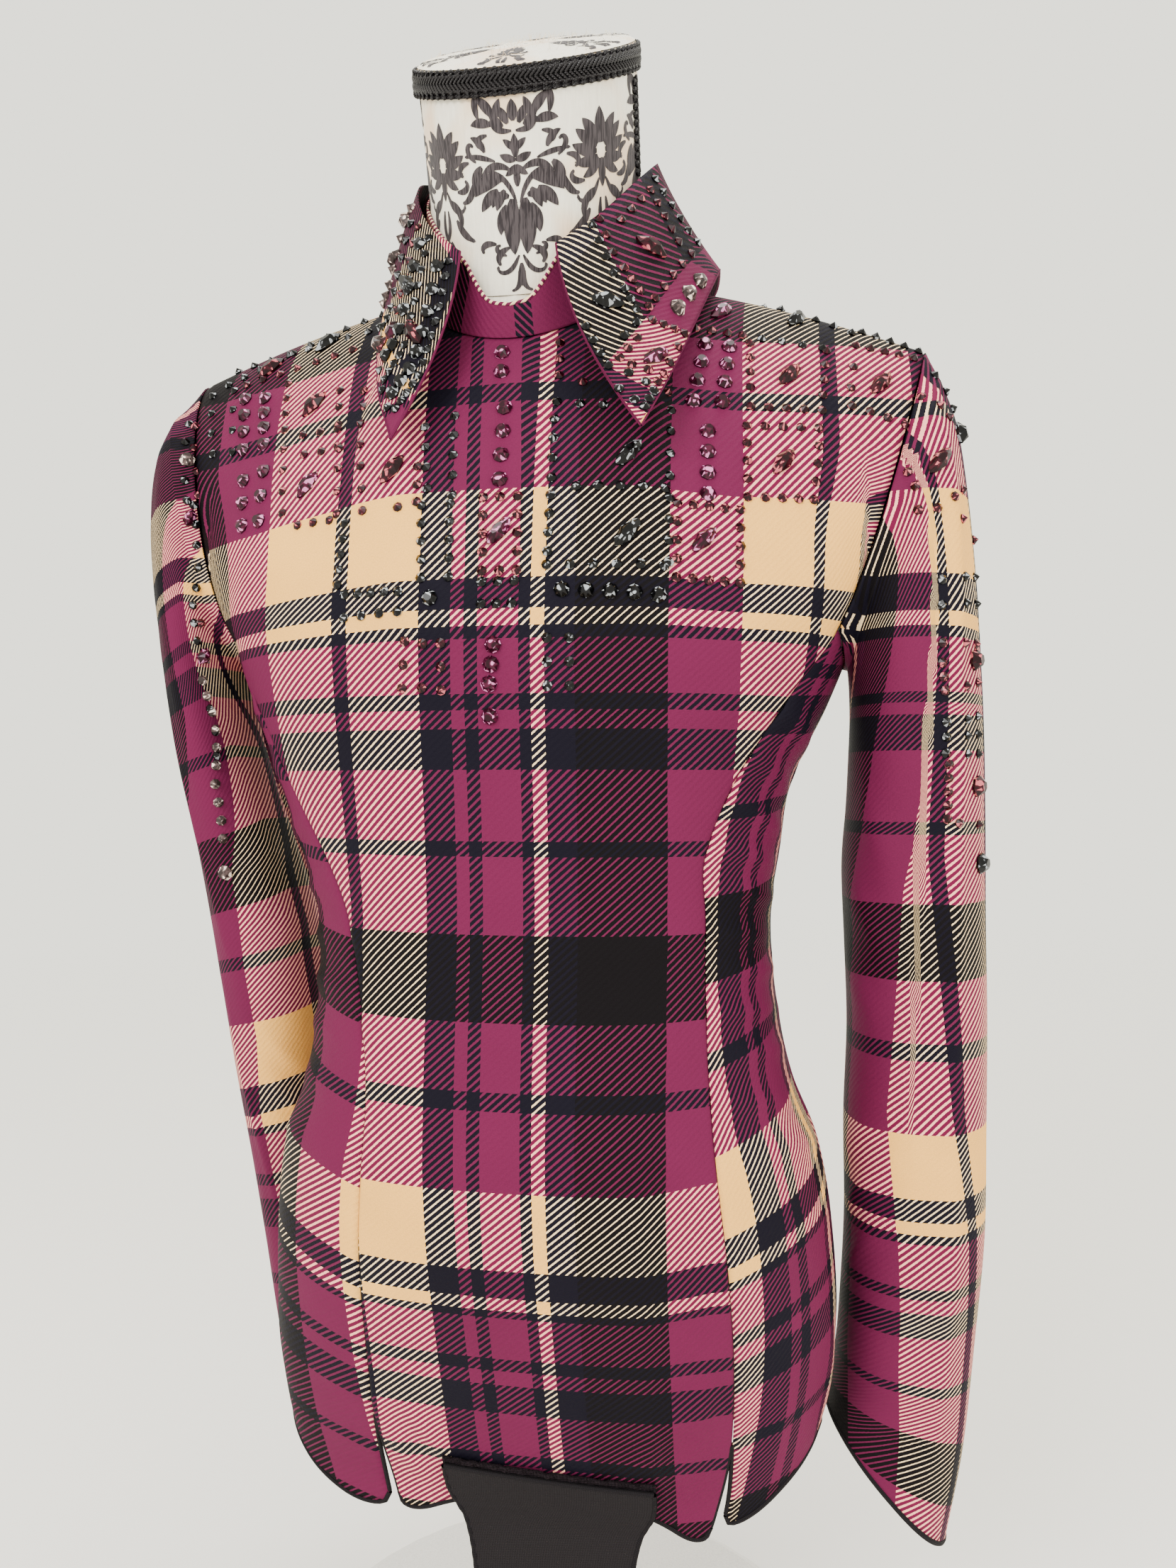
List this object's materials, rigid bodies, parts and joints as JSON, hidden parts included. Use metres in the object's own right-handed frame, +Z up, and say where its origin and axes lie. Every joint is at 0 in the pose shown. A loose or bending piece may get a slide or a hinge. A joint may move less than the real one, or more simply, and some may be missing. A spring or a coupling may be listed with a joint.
{
  "type": "equestrian show shirt on dress form",
  "caption": "Long-sleeved plaid show shirt with pointed collar and crotch strap, worn by a limbless dress form on a low round stand.",
  "frame": {"origin": "middle of the bounding box on the floor under the stand's base", "axes": "+Z up, the shirt's front faces -Y, and +X is the viewer's right"},
  "size_m": [0.4346, 0.33, 0.926],
  "materials": {
    "plaid_crepe": "matte crepe-backed stretch twill, printed plum, navy, black and cream plaid",
    "serged_edge": "black overlock thread",
    "strap_knit": "black stretch knit with a short nap",
    "loop_tape": "fuzzy black loop tape",
    "zip_coil": "dark nylon coil on woven tape",
    "zip_metal": "nickel-plated",
    "form_cover": "off-white short-pile cloth with a charcoal damask",
    "gimp_braid": "black scroll gimp braid with a slight sheen",
    "stones": "foiled faceted stones in garnet, pink and jet",
    "stand_metal": "satin black powder coat"
  },
  "bodies": {
    "root": {"front_centre": "plaid_crepe", "side_front_right": "plaid_crepe", "side_front_left": "plaid_crepe", "side_back_left": "plaid_crepe", "side_back_right": "plaid_crepe", "back_left": "plaid_crepe", "back_right": "plaid_crepe", "zip_chain": "zip_coil", "zip_slider": "zip_metal", "sleeve_right": "plaid_crepe", "sleeve_left": "plaid_crepe", "collar_stand": "plaid_crepe", "collar_leaf_right": "plaid_crepe", "collar_leaf_left": "plaid_crepe", "strap_tape": "loop_tape", "crotch_strap": "strap_knit", "form_body": "form_cover", "neck_braid": "gimp_braid", "neck_cap": "form_cover", "neck_side_braid": "gimp_braid", "stand_base": "stand_metal", "stand_pole": "stand_metal"}
  },
  "joints": []
}
